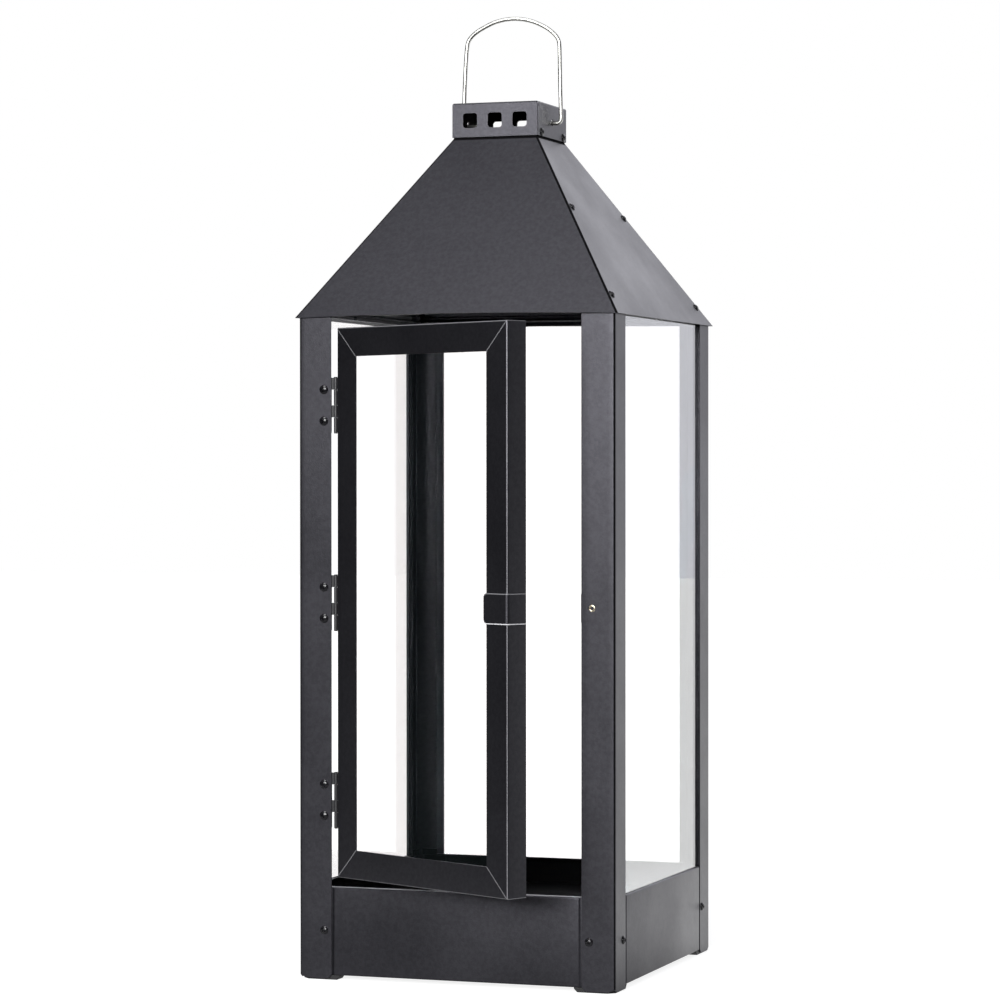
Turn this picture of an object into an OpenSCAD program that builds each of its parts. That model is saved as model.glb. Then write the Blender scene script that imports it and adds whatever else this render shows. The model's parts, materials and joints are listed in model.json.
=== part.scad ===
// Square metal lantern with three fixed panes, a hinged glass door and a wire carrying handle.
// The origin is on the floor, in the middle between the four feet. The door faces -Y.

/* [Body] */
// Outer width and depth across the corner posts
body_width = 240; // [200:1:300]
// Height of the roof's lower edge above the floor
eave_height = 479.2; // [380:0.1:600]
// Thickness of the steel sheet of posts, skirts, rails and floor
sheet = 1; // [0.8:0.1:1.2]
// Width of each leg of a corner post
post_flange = 25; // [23:0.5:32]
// Outside radius of the bend down a corner post
post_bend = 2; // [1.5:0.1:3]
// Height of the posts' lower ends above the floor
post_lift = 1; // [0.5:0.1:2]
// Size of the clipped lower corners of the posts
post_clip = 3; // [1:0.5:5]
// Length of the raised lower corner at a post's bend
corner_clip = 5; // [2:0.5:8]
// Height of the raised lower corner at a post's bend
corner_rise = 2.5; // [1:0.1:4]
// Width of the folded-back hem that a fixed pane leans on
hem_width = 6; // [4:0.5:8]

/* [Base] */
// Height of the skirt's upper edge above the floor
skirt_height = 67.2; // [60:0.1:90]
// Height of the skirt's lower edge above the floor, which is the feet's thickness
foot_thickness = 3.5; // [2.5:0.1:6]
// Length of a foot along each side
foot_leg = 30; // [27:0.5:40]
// Width of a foot's ends
foot_end = 9; // [6:1:12]
// Size of the cut across a foot's outer corner
foot_corner = 5; // [2:0.5:8]
// Width of the groove between a skirt and the post beside it
skirt_groove = 2; // [1:0.1:3]
// Distance from a skirt's upper edge down to the floor plate
floor_drop = 19.7; // [15:0.1:30]
// Depth of the floor plate's turned-down edges
floor_flange = 20; // [15:0.5:24]
// Distance from the body's corners to a skirt's ends
skirt_inset = 8.4; // [7:0.1:12]
// Width of the folds along a skirt's upper and lower edges
skirt_fold = 5.5; // [5.5:0.1:12]
// Height of the bent-up tabs that keep a pane on the skirt
pane_tab_height = 4; // [2:0.5:8]
// Width of those tabs
pane_tab_width = 12; // [8:0.5:14]

/* [Glass] */
// Thickness of every pane
glass = 3; // [2:0.1:4]
// How far a fixed pane reaches behind a post
glass_lap = 6; // [4:0.5:6]

/* [Roof] */
// How far the roof's lower edge stands out past the posts
eave_overhang = 2.6; // [2:0.1:6]
// Height of the sloping part of the roof
roof_rise = 134.1; // [100:0.1:180]
// Width and depth of the roof where its slope ends
roof_top_width = 66.4; // [58:0.1:80]
// Rise of the lower edge at the middle of the front and rear panels
eave_bow = 1.8; // [0.5:0.1:4]
// Width of the front and rear panels' flanges under the side panels, seen from above
hip_flange = 14; // [12:0.5:20]
// Width of the open seam along each hip, seen from above
hip_seam = 0.8; // [0.4:0.1:1.5]
// Height of the lower hip screws above the eave
hip_screw_low = 13.8; // [13:0.1:30]
// Height of the upper hip screws above the eave
hip_screw_high = 79.8; // [50:0.1:85]
// Distance of the hip screws from the hip, seen from above
hip_screw_inset = 7; // [6.5:0.1:9]
// Height of a top rail's inner lip, above the panes' lower edge of view
rail_lip = 4.5; // [3.5:0.1:8]
// Height of a top rail's sloping flange against the roof
rail_flange = 3; // [2:0.1:3.5]

/* [Chimney] */
// How far the chimney box stands out past the roof's upper end, all round
chimney_overhang = 0.5; // [0.1:0.1:1]
// Height of the chimney's top above the upper end of the roof's slope
chimney_height = 26.8; // [25:0.1:40]
// Gap between the roof and the chimney box
chimney_gap = 0.8; // [0.2:0.1:2]
// Height of the roof's collar inside the chimney box
collar_height = 7; // [5.5:0.1:7.4]
// Number of vent holes in the front, and in the rear
vent_count = 3; // [1:1:3]
// Width and height of a vent hole
vent_size = 11; // [6:0.1:11.5]
// Radius of a vent hole's corners
vent_radius = 2.2; // [1:0.1:2.8]
// Distance between neighbouring vent holes
vent_pitch = 19.3; // [14:0.1:20]
// Height of the vent holes' centres above the upper end of the slope
vent_height = 13.7; // [13.5:0.1:15]
// Outside radius of the bends along the chimney's top
chimney_bend = 1.5; // [1.3:0.1:2.5]
// Distance of the chimney's screws from its middle
chimney_screw_offset = 25.15; // [15:0.05:26]
// Height of the chimney's screws above the upper end of the slope
chimney_screw_height = 4.5; // [4:0.1:5]

/* [Handle] */
// Diameter of the handle's wire
wire = 3.2; // [2.5:0.1:4]
// Distance between the handle's legs at the pivots
handle_span = 77; // [76:0.1:84]
// Lean of each leg towards the other, going up
handle_lean = 1.3; // [0:0.1:1.3]
// Radius of the grip's shallow arc
grip_radius = 49; // [45:0.5:60]
// Height of the grip's highest point above the pivots, at the wire's middle
grip_rise = 78.8; // [65:0.1:95]
// Radius of the bends between the grip and the legs
shoulder_radius = 7; // [4:0.5:12]
// Radius of the bends into the pivot ends
elbow_radius = 3; // [2.5:0.1:4]
// Length of the wire's ends, from the legs inwards
pivot_length = 11; // [9:0.5:13]
// Height of the pivots above the upper end of the roof's slope
pivot_height = 13; // [12.5:0.1:16]
// How far the loose handle is pushed over to the right
handle_shift = 2.1; // [0:0.1:2.1]
// Diameter of the handle's holes
pivot_hole = 5; // [4.5:0.1:6]

/* [Door] */
// Gap between the front skirt and the door's lower edge
door_sill_gap = 7.3; // [3:0.1:10]
// Gap between the door's upper edge and the roof's lower edge
door_head_gap = 7.5; // [4:0.1:12]
// Gap between the door's free edge and the post
door_latch_gap = 4; // [3.4:0.1:8]
// Width of the door frame's face
door_face = 21; // [16:0.5:28]
// Depth of the door frame's flanges
door_depth = 17.8; // [16:0.1:22]
// Thickness of the door frame's sheet
door_sheet = 1; // [0.8:0.1:1.2]
// Outside radius of the door frame's bends
door_bend = 1.5; // [1.3:0.1:2.2]
// Play around the door's pane
door_glass_play = 0.5; // [0.3:0.1:1]
// How far the door stands open, in degrees
door_open = 28; // [0:1:137]
// Width of the glass clips
clip_width = 10; // [6:1:16]
// Distance of the stiles' outer glass clips from the door's ends
clip_inset = 78.6; // [50:0.1:130]

/* [Hinges] */
// Distance of the outer hinges' middles from the door's ends
hinge_inset = 55.8; // [30:0.1:90]
// Thickness of the hinges' leaves
leaf = 0.6; // [0.5:0.1:0.8]
// Diameter of the hinge pins
pin_diameter = 1.5; // [1.2:0.1:1.8]
// Radial clearance of the hinge pins
pin_clearance = 0.05; // [0.02:0.01:0.1]
// Height of a knuckle on the post's leaf
post_knuckle = 8.7; // [7:0.1:12]
// Height of a knuckle on the door's leaf
door_knuckle = 11; // [7:0.1:12]
// Gap between neighbouring knuckles
knuckle_gap = 0.15; // [0.1:0.05:0.4]
// Width of the post's leaf, from the hinge pin
post_leaf_width = 16.5; // [14:0.5:17]
// Width of the door's leaf, from the hinge pin
door_leaf_width = 14; // [12:0.5:15]
// Gap between the post and the hinge barrel
barrel_gap = 2.1; // [0.5:0.1:3]
// Distance of the hinge screws above and below a hinge's middle
hinge_screw_spread = 11.35; // [9:0.05:14]
// Diameter of the hinge screws' heads
hinge_head_diameter = 6.6; // [5:0.1:7]

/* [Latch] */
// Height of the magnet's middle below the door's middle
magnet_drop = 1.7; // [-20:0.1:20]
// Height of the latch plate's middle above the magnet's middle
latch_rise = 2.1; // [0:0.1:4]
// Height of the latch plate
latch_height = 21.4; // [18:0.1:40]
// How far the latch plate reaches past the stile's inner edge
latch_reach = 2; // [1:0.5:10]
// Radius of the latch plate's corners
latch_corner = 3; // [1:0.5:5]
// Width of the magnet's housing
magnet_width = 16; // [14:0.5:18]
// Depth of the magnet's housing
magnet_depth = 11; // [8:0.5:14]
// Height of the magnet's housing
magnet_height = 20; // [12:0.5:30]
// How far the magnet's housing reaches past the post's edge
magnet_reach = 0.5; // [0.3:0.1:2]
// Distance of the tubular rivet from the post's corner
rivet_inset = 17; // [13:0.5:18]
// Diameter of the tubular rivet's flange
rivet_flange = 5.3; // [4.5:0.1:6]
// Diameter of the tubular rivet's shank
rivet_shank = 3.4; // [3:0.1:3.8]
// Diameter of the hole through the tubular rivet
rivet_hole = 2.2; // [1.5:0.1:2.4]

/* [Screws] */
// Diameter of the screws' heads
head_diameter = 6; // [5:0.1:6.4]
// Height of the screws' heads
head_height = 1.7; // [1.2:0.1:2]
// Diameter of the screws' shanks
shank_diameter = 3; // [2.5:0.1:3.4]
// Length of the screws under the head
shank_length = 6; // [4:0.5:7]
// Distance of the post screws from the corner
screw_inset = 19.4; // [17:0.1:20]
// Distance of the hinge rivets from the leaf's end
leaf_rivet_end = 6; // [5:0.5:8]
// Drop of the skirt screws below the floor plate's top
skirt_screw_drop = 11.5; // [8:0.5:15]

/* [Hidden] */
$fn = 64;

// Finishes
powder_black = "#3a3a3d";
inside_black = "#2b2b2e";
clear_glass = "#dfeeee66";
zinc = "#8f9296";
stainless = "#c9c8c2";
nickel = "#b9ae92";
rubber_black = "#18181a";

// The four sides, counted anticlockwise from the front
front = 0;
right = 1;
rear = 2;
left = 3;

// Body
half = body_width / 2;
inner = half - sheet;
post_edge = half - post_flange;
groove_x = post_edge - skirt_groove;
tab_face = inner;
tab_back = inner - sheet;
tab_end = half - skirt_inset;
pane_face = tab_back;
pane_back = pane_face - glass;
pane_end = post_edge + glass_lap;
fold_edge = inner - skirt_fold;
floor_z = skirt_height - floor_drop;
skirt_screw_z = floor_z - skirt_screw_drop;
post_top = eave_height + 0.8 * sheet;
gusset_leg = 18;
seat_play = 0.1;
screw_hole = shank_diameter + 0.3;
far = 2 * body_width;

// Roof: radius is the distance from the lantern's axis to a panel, square to the side
eave_radius = half + eave_overhang;
roof_top_half = roof_top_width / 2;
chimney_half = roof_top_half + chimney_overhang;
slope_top = eave_height + roof_rise;
slope = atan2(roof_rise, eave_radius - roof_top_half);
sheet_across = sheet / sin(slope);
function roof_radius(z) = eave_radius - (z - eave_height) / tan(slope);
function roof_z(radius) = eave_height + (eave_radius - radius) * tan(slope);
function roof_inside(z) = roof_radius(z) - sheet_across;
collar_radius = chimney_half - sheet;
collar_top = roof_z(collar_radius) + collar_height;
rail_bottom = post_top + sheet;
rail_top = rail_bottom + rail_lip;
rail_radius = pane_back - 2 * sheet;
rail_flange_top = rail_top + rail_flange;
hip_flange_bottom = rail_flange_top + 1;
hip_flange_top = roof_z(collar_radius) - 3 * sheet;
hip_overlap = 0.9 * sheet_across;
pane_top = rail_top - 2 * sheet;
bow_radius = eave_radius * eave_radius / (2 * eave_bow) + eave_bow / 2;

// Chimney and handle
chimney_bottom = roof_z(collar_radius) + chimney_gap;
chimney_top = slope_top + chimney_height;
corner_seam = 0.5;
vent_z = slope_top + vent_height;
chimney_screw_z = slope_top + chimney_screw_height;
pivot_z = slope_top + pivot_height;
pivot_hole_z = pivot_z + (pivot_hole - wire) / 2 - 0.3;

// Hinges: the pin stands just in front of the posts' faces
barrel = pin_diameter / 2 + pin_clearance + leaf;
axis_x = -post_edge + barrel_gap + barrel;
axis_y = -inner + leaf - barrel;
hinge_height = 2 * post_knuckle + 2 * door_knuckle + 3 * knuckle_gap;
knuckle_play = 0.3;

// Door, in its closed place
door_left = axis_x + barrel;
door_right = post_edge - door_latch_gap;
door_width = door_right - door_left;
door_bottom = skirt_height + door_sill_gap;
door_top = eave_height - door_head_gap;
door_height = door_top - door_bottom;
door_middle = (door_bottom + door_top) / 2;
door_back = -half + door_depth;
door_pane_back = -half + door_sheet + glass;
clip_sheet = 0.8;
clip_hold = 8;
clip_end = 1.5;
hinge_z = [door_bottom + hinge_inset, door_middle, door_top - hinge_inset];
leaf_rivet_y = axis_y + door_leaf_width - 4;
leaf_rivet_spread = hinge_height / 2 - leaf_rivet_end;
leaf_rivet_radius = 1.2;
leaf_rivet_head = 2;
leaf_rivet_head_height = 0.6;

// Latch
magnet_z = door_middle - magnet_drop;
latch_z = magnet_z + latch_rise;
latch_sheet = 1;
magnet_left = post_edge - magnet_reach;
rivet_x = half - rivet_inset;
magnet_pocket = 4;
magnet_wall = 2;

// Turns a piece drawn for the front to one of the four sides
module on_side(side) {
    rotate([0, 0, 90 * side]) children();
}

// Mirrors a piece drawn in the rear right corner to another corner
module at_corner(x_sign, y_sign) {
    mirror([x_sign < 0 ? 1 : 0, 0, 0])
        mirror([0, y_sign < 0 ? 1 : 0, 0])
            children();
}

// Extrudes a section of [distance from the axis, height] along the front side
module run_along(length) {
    rotate([90, 0, -90])
        linear_extrude(height = length, center = true)
            children();
}

// The part of space that belongs to the front side, cut off along the two hips
module mitre_wedge(seam = 0) {
    linear_extrude(height = chimney_top)
        polygon([[0, -seam], [far, -far - seam], [-far, -far - seam]]);
}

// A pan head screw: its head stands on z = 0 and its shank points down
module pan_screw(diameter = head_diameter) {
    rim = 0.5;
    dome = (pow(diameter / 2, 2) + pow(head_height - rim, 2)) / (2 * (head_height - rim));
    slot = diameter * 0.52;
    difference() {
        union() {
            rotate_extrude()
                intersection() {
                    translate([0, head_height - dome]) circle(dome, $fn = 256);
                    square([diameter / 2, head_height]);
                }
            translate([0, 0, -shank_length])
                cylinder(d = shank_diameter, h = shank_length + rim);
        }
        for (turn = [0, 90])
            rotate([0, 0, turn])
                translate([-slot / 2, -0.4, head_height - 0.9])
                    cube([slot, 0.8, 2]);
    }
}

// A round hole across the sheets, in the direction of a screw's shank
module screw_bore(diameter = screw_hole) {
    translate([0, 0, -3 * shank_length])
        cylinder(d = diameter, h = 4 * shank_length);
}

// Places of the two skirt screws on each side
module each_skirt_screw(side) {
    on_side(side)
        for (end = [-1, 1])
            translate([end * (half - screw_inset), -half, skirt_screw_z])
                rotate([90, 0, 0])
                    children();
}

// Places of the hip screws, on the right and left panels
module each_hip_screw(side) {
    on_side(side)
        for (end = [-1, 1], z = [eave_height + hip_screw_low, eave_height + hip_screw_high])
            translate([end * (roof_radius(z) - hip_screw_inset), -roof_radius(z), z])
                rotate([slope, 0, 0])
                    children();
}

// Places of the chimney's screws, on its right and left sides
module each_chimney_screw(side) {
    on_side(side)
        for (end = [-1, 1])
            translate([end * chimney_screw_offset, -chimney_half, chimney_screw_z])
                rotate([90, 0, 0])
                    children();
}

// Places of the hinge screws, on the front left post
module each_hinge_screw() {
    for (z = hinge_z, end = [-1, 1])
        translate([-(half - screw_inset), -half, z + end * hinge_screw_spread])
            rotate([90, 0, 0])
                children();
}

// Place of the tubular rivet, on the front right post
module at_magnet_rivet() {
    translate([rivet_x, -half, magnet_z]) rotate([90, 0, 0]) children();
}

// ---- Body ----

module post_section() {
    middle = half - post_bend;
    translate([post_edge, inner]) square([middle - post_edge, sheet]);
    translate([inner, post_edge]) square([sheet, middle - post_edge]);
    translate([middle, middle])
        intersection() {
            difference() {
                circle(post_bend);
                circle(post_bend - sheet);
            }
            square(post_bend);
        }
}

// The folded-back edge that a pane leans on, on the flange along X
module pane_hem() {
    translate([post_edge, pane_face, skirt_height])
        cube([hem_width, 1.5 * sheet, post_top - skirt_height]);
}

// Cuts the flange's lower inner corner at 45 degrees, on the flange along X
module flange_clip() {
    translate([post_edge, half, post_lift])
        rotate([0, 45, 0])
            cube([post_clip * sqrt(2), 4 * sheet, post_clip * sqrt(2)], center = true);
}

// Raises the lower corner at the bend, equally on both flanges
module corner_notch() {
    translate([half - corner_clip / 2, half - corner_clip / 2, post_lift])
        rotate([0, 0, 45])
            rotate([0, -atan2(corner_rise, corner_clip / sqrt(2)), 0])
                translate([-post_flange, -post_flange, -post_flange])
                    cube([2 * post_flange, 2 * post_flange, post_flange]);
}

module post(x_sign, y_sign) {
    color(powder_black)
        difference() {
            at_corner(x_sign, y_sign)
                difference() {
                    union() {
                        translate([0, 0, post_lift])
                            linear_extrude(height = post_top - post_lift) post_section();
                        mirror([1, -1, 0]) pane_hem();
                        if (y_sign > 0) pane_hem();
                    }
                    flange_clip();
                    mirror([1, -1, 0]) flange_clip();
                    corner_notch();
                }
            for (side = [front, right, rear, left])
                each_skirt_screw(side) screw_bore();
        }
}

module post_front_left() {
    color(powder_black)
        difference() {
            post(-1, -1);
            each_hinge_screw() screw_bore();
        }
}

module post_front_right() {
    color(powder_black)
        difference() {
            post(1, -1);
            at_magnet_rivet() screw_bore(rivet_shank + seat_play);
        }
}

// ---- Base ----

// Seen from above: flush with the posts in the middle, joggled behind them at both ends
module skirt_plan() {
    bevel = sheet * (sqrt(2) - 1);
    right_half = [
        [groove_x, -half], [groove_x + sheet, -tab_face], [tab_end, -tab_face],
        [tab_end, -tab_back], [groove_x + sheet - bevel, -tab_back], [groove_x - bevel, -inner]
    ];
    left_half = [for (i = [5:-1:0]) [-right_half[i][0], right_half[i][1]]];
    polygon(concat(right_half, left_half));
}

module skirt(side) {
    glazed = side != front;
    color(powder_black)
        difference() {
            on_side(side) {
                translate([0, 0, foot_thickness])
                    linear_extrude(height = skirt_height - foot_thickness) skirt_plan();
                translate([-tab_end, -tab_back - sheet / 2, skirt_height - sheet])
                    cube([2 * tab_end, tab_back + sheet / 2 - fold_edge, sheet]);
                translate([-groove_x, -inner - sheet / 2, skirt_height - sheet])
                    cube([2 * groove_x, 2 * sheet, sheet]);
                translate([-tab_end, -tab_back - sheet / 2, foot_thickness])
                    cube([2 * tab_end, tab_back + sheet / 2 - fold_edge, sheet]);
                translate([-groove_x, -inner - sheet / 2, foot_thickness])
                    cube([2 * groove_x, 2 * sheet, sheet]);
                if (glazed)
                    for (end = [-1, 1])
                        translate([end * (tab_end - pane_tab_width / 2), -fold_edge - sheet / 2, skirt_height - sheet / 2])
                            translate([-pane_tab_width / 2, -sheet / 2, -sheet / 2])
                                cube([pane_tab_width, sheet, pane_tab_height + sheet]);
            }
            each_skirt_screw(side) screw_bore();
        }
}

module foot(x_sign, y_sign) {
    reach = inner - seat_play;
    inward = reach - foot_leg;
    color(rubber_black)
        at_corner(x_sign, y_sign)
            difference() {
                linear_extrude(height = foot_thickness)
                    polygon([
                        [reach - foot_corner, reach], [inward, reach], [inward, reach - foot_end],
                        [reach - foot_end, inward], [reach, inward], [reach, reach - foot_corner]
                    ]);
                for (swap = [0, 1])
                    mirror([swap, -swap, 0])
                        translate([inward, half, 0])
                            rotate([0, 45, 0])
                                cube([foot_thickness, 3 * foot_leg, foot_thickness], center = true);
            }
}

module floor_plate() {
    color(inside_black)
        difference() {
            union() {
                translate([-tab_back, -tab_back, floor_z - sheet])
                    cube([2 * tab_back, 2 * tab_back, sheet]);
                for (side = [front, right, rear, left])
                    on_side(side)
                        translate([-tab_end, -tab_back, floor_z - floor_flange])
                            cube([2 * tab_end, sheet, floor_flange - sheet / 2]);
            }
            for (side = [front, right, rear, left])
                each_skirt_screw(side) screw_bore();
        }
}

// ---- Panes ----

module pane(side) {
    color(clear_glass)
        on_side(side)
            translate([-pane_end, -pane_face, skirt_height])
                cube([2 * pane_end, glass, pane_top - skirt_height]);
}

// ---- Top frame and roof ----

module top_rail(side) {
    color(inside_black)
        on_side(side)
            intersection() {
                run_along(2 * half)
                    polygon([
                        [rail_radius, rail_bottom], [rail_radius + sheet, rail_bottom],
                        [rail_radius + sheet, rail_top - sheet],
                        [roof_inside(rail_top - sheet), rail_top - sheet],
                        [roof_inside(rail_flange_top), rail_flange_top],
                        [roof_inside(rail_flange_top) - sheet_across, rail_flange_top],
                        [roof_inside(rail_top) - sheet_across, rail_top],
                        [rail_radius, rail_top]
                    ]);
                mitre_wedge();
            }
}

// Flat corner plates on the posts' ends, which carry the top rails
module top_gussets() {
    reach = inner - seat_play;
    color(inside_black)
        for (x_sign = [-1, 1], y_sign = [-1, 1])
            at_corner(x_sign, y_sign)
                translate([0, 0, post_top])
                    linear_extrude(height = sheet)
                        polygon([
                            [reach + sheet - post_bend, half], [reach - gusset_leg, half],
                            [half, reach - gusset_leg], [half, reach + sheet - post_bend]
                        ]);
}

// A panel with the short collar at its top that stands inside the chimney
module roof_sheet(seam) {
    intersection() {
        run_along(2 * eave_radius)
            polygon([
                [eave_radius, eave_height], [collar_radius, roof_z(collar_radius)],
                [collar_radius, collar_top], [collar_radius - sheet, collar_top],
                [collar_radius - sheet, roof_z(collar_radius - sheet + sheet_across)],
                [eave_radius - sheet_across, eave_height]
            ]);
        mitre_wedge(seam);
    }
}

// The front panel's flange under the right panel, drawn beside the front side
module hip_strip() {
    intersection() {
        on_side(right)
            run_along(2 * eave_radius)
                polygon([
                    [roof_inside(hip_flange_bottom), hip_flange_bottom],
                    [roof_inside(hip_flange_top), hip_flange_top],
                    [roof_inside(hip_flange_top) - sheet_across, hip_flange_top],
                    [roof_inside(hip_flange_bottom) - sheet_across, hip_flange_bottom]
                ]);
        linear_extrude(height = chimney_top)
            polygon([[-hip_overlap, 0], [far - hip_overlap, -far], [far + hip_flange, -far], [hip_flange, 0]]);
    }
}

module roof_end_panel(side) {
    color(powder_black)
        difference() {
            on_side(side)
                difference() {
                    union() {
                        roof_sheet(0);
                        hip_strip();
                        mirror([1, 0, 0]) hip_strip();
                    }
                    translate([0, 0, eave_height + eave_bow - bow_radius])
                        rotate([90, 0, 0])
                            cylinder(r = bow_radius, h = far, $fn = 1800);
                }
            each_hip_screw(right) screw_bore();
            each_hip_screw(left) screw_bore();
        }
}

module roof_side_panel(side) {
    color(powder_black)
        difference() {
            on_side(side) roof_sheet(hip_seam);
            each_hip_screw(side) screw_bore();
            each_chimney_screw(side) screw_bore();
        }
}

// ---- Chimney ----

module vent_outline() {
    straight = vent_size - 2 * vent_radius;
    square([vent_size, straight], center = true);
    square([straight, vent_size], center = true);
    for (x = [-straight / 2, straight / 2], y = [-straight / 2, straight / 2])
        translate([x, y]) circle(vent_radius);
}

// Two walls and the top between them, as one bent strip: [across, height]
module bent_strip_section() {
    shoulder = chimney_half - chimney_bend;
    for (turn = [-1, 1]) {
        translate([turn > 0 ? collar_radius : -chimney_half, chimney_bottom])
            square([sheet, chimney_top - chimney_bend - chimney_bottom]);
        translate([turn * shoulder, chimney_top - chimney_bend])
            intersection() {
                difference() {
                    circle(chimney_bend);
                    circle(chimney_bend - sheet);
                }
                translate([turn > 0 ? 0 : -chimney_bend, 0]) square(chimney_bend);
            }
    }
    translate([-shoulder, chimney_top - sheet]) square([2 * shoulder, sheet]);
}

// One folded blank: the four walls meet at open seams down the corners
module chimney_box() {
    side_wall = collar_radius - corner_seam;
    color(powder_black)
        difference() {
            union() {
                run_along(2 * (chimney_half - chimney_bend)) bent_strip_section();
                on_side(right)
                    run_along(2 * (chimney_half - chimney_bend)) bent_strip_section();
                for (side = [front, rear])
                    on_side(side)
                        translate([-chimney_half + corner_seam, -chimney_half, chimney_bottom])
                            cube([2 * (chimney_half - corner_seam), sheet, chimney_top - chimney_bend - chimney_bottom]);
                for (side = [right, left])
                    on_side(side)
                        translate([-side_wall, -chimney_half, chimney_bottom])
                            cube([2 * side_wall, sheet, chimney_top - chimney_bend - chimney_bottom]);
            }
            for (i = [0:vent_count - 1])
                translate([(i - (vent_count - 1) / 2) * vent_pitch, 0, vent_z])
                    rotate([90, 0, 0])
                        linear_extrude(height = far, center = true) vent_outline();
            translate([-far, 0, pivot_hole_z])
                rotate([0, 90, 0])
                    cylinder(d = pivot_hole, h = 2 * far);
            each_chimney_screw(right) screw_bore();
            each_chimney_screw(left) screw_bore();
        }
}

// ---- Handle ----

// Centreline of the right leg in the XZ plane, measured from the pivot's middle
leg_foot = [handle_span / 2, 0];
leg_way = [-sin(handle_lean), cos(handle_lean)];
leg_inward = [-cos(handle_lean), -sin(handle_lean)];
grip_centre = [0, grip_rise - grip_radius];
shoulder_start = leg_foot + shoulder_radius * leg_inward - grip_centre;
shoulder_along = -(shoulder_start * leg_way)
    + sqrt(pow(shoulder_start * leg_way, 2) - shoulder_start * shoulder_start
           + pow(grip_radius - shoulder_radius, 2));
shoulder_centre = leg_foot + shoulder_along * leg_way + shoulder_radius * leg_inward;
grip_angle = atan2(shoulder_centre[1] - grip_centre[1], shoulder_centre[0]);
elbow_along = elbow_radius * (1 + sin(handle_lean)) / cos(handle_lean);
elbow_centre = leg_foot + elbow_along * leg_way + elbow_radius * leg_inward;

// A point of a bend in the XZ plane
function bend_point(centre, radius, angle) = centre + radius * [cos(angle), sin(angle)];

// A bend of the wire, which stops a hair short of its neighbours
module wire_bend(centre, radius, from, to) {
    short = 0.05 / radius * 180 / PI;
    translate([centre[0], 0, centre[1]])
        rotate([90, 0, 0])
            rotate([0, 0, from + short])
                rotate_extrude(angle = to - from - 2 * short, $fn = 180)
                    translate([radius, 0]) circle(d = wire, $fn = 32);
}

// Closes the hair between two neighbouring lengths of the wire
module wire_bead(point) {
    translate([point[0], 0, point[1]]) sphere(d = wire + 0.04, $fn = 48);
}

module handle_half() {
    wire_bend(shoulder_centre, shoulder_radius, handle_lean, grip_angle);
    wire_bend(elbow_centre, elbow_radius, -90, handle_lean);
    translate([leg_foot[0] + elbow_along * leg_way[0], 0, elbow_along * leg_way[1]])
        rotate([0, -handle_lean, 0])
            cylinder(d = wire, h = shoulder_along - elbow_along, $fn = 32);
    translate([leg_foot[0] - pivot_length, 0, 0])
        rotate([0, 90, 0])
            cylinder(d = wire, h = elbow_centre[0] - leg_foot[0] + pivot_length, $fn = 32);
    wire_bead(bend_point(grip_centre, grip_radius, grip_angle));
    wire_bead(bend_point(shoulder_centre, shoulder_radius, handle_lean));
    wire_bead(bend_point(elbow_centre, elbow_radius, handle_lean));
    wire_bead([elbow_centre[0], 0]);
}

module carry_handle() {
    color(stainless)
        translate([handle_shift, 0, pivot_z]) {
            wire_bend(grip_centre, grip_radius, grip_angle, 180 - grip_angle);
            handle_half();
            mirror([1, 0, 0]) handle_half();
        }
}

// ---- Hinges ----

// Lower ends of a hinge's knuckles above its lower end, from the bottom: door, post, door, post
function knuckle_z(i) =
    i * knuckle_gap + ceil(i / 2) * door_knuckle + floor(i / 2) * post_knuckle - hinge_height / 2;

module knuckle(height) {
    difference() {
        cylinder(r = barrel, h = height);
        translate([0, 0, -1]) cylinder(r = barrel - leaf, h = height + 2);
    }
}

// Screwed behind the post's flange and rolled round the pin
module post_leaf(z) {
    color(zinc)
        difference() {
            union() {
                translate([axis_x - post_leaf_width, -inner, z - hinge_height / 2])
                    cube([post_leaf_width - barrel - barrel_gap, leaf, hinge_height]);
                for (i = [1, 3])
                    translate([axis_x, axis_y, z + knuckle_z(i)])
                        difference() {
                            union() {
                                knuckle(post_knuckle);
                                translate([-barrel - barrel_gap - knuckle_play, barrel - leaf, 0])
                                    cube([barrel + barrel_gap + knuckle_play, leaf, post_knuckle]);
                            }
                            translate([0, 0, -1]) cylinder(r = barrel - leaf, h = post_knuckle + 2);
                        }
            }
            each_hinge_screw() screw_bore();
        }
}

module hinge_pin(z) {
    end_radius = pin_diameter / 2 + 0.5;
    end_height = 0.6;
    color(zinc)
        translate([axis_x, axis_y, z - hinge_height / 2]) {
            cylinder(d = pin_diameter, h = hinge_height);
            translate([0, 0, hinge_height]) cylinder(r = end_radius, h = end_height);
            translate([0, 0, -end_height]) cylinder(r = end_radius, h = end_height);
        }
}

// Swings what is drawn in the closed door's place to where the door stands
module swung_open() {
    translate([axis_x, axis_y, 0])
        rotate([0, 0, -door_open])
            translate([-axis_x, -axis_y, 0])
                children();
}

// Riveted to the outside of the door's flange and rolled round the pin
module door_leaf(z) {
    color(zinc)
        swung_open()
            difference() {
                union() {
                    translate([door_left - leaf, axis_y + barrel + knuckle_play, z - hinge_height / 2])
                        cube([leaf, door_leaf_width - barrel - knuckle_play, hinge_height]);
                    for (i = [0, 2])
                        translate([axis_x, axis_y, z + knuckle_z(i)])
                            difference() {
                                union() {
                                    knuckle(door_knuckle);
                                    translate([barrel - leaf, 0, 0])
                                        cube([leaf, barrel + 2 * knuckle_play, door_knuckle]);
                                }
                                translate([0, 0, -1]) cylinder(r = barrel - leaf, h = door_knuckle + 2);
                            }
                }
                each_leaf_rivet() cylinder(r = leaf_rivet_radius, h = 8 * sheet, center = true);
            }
}

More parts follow.
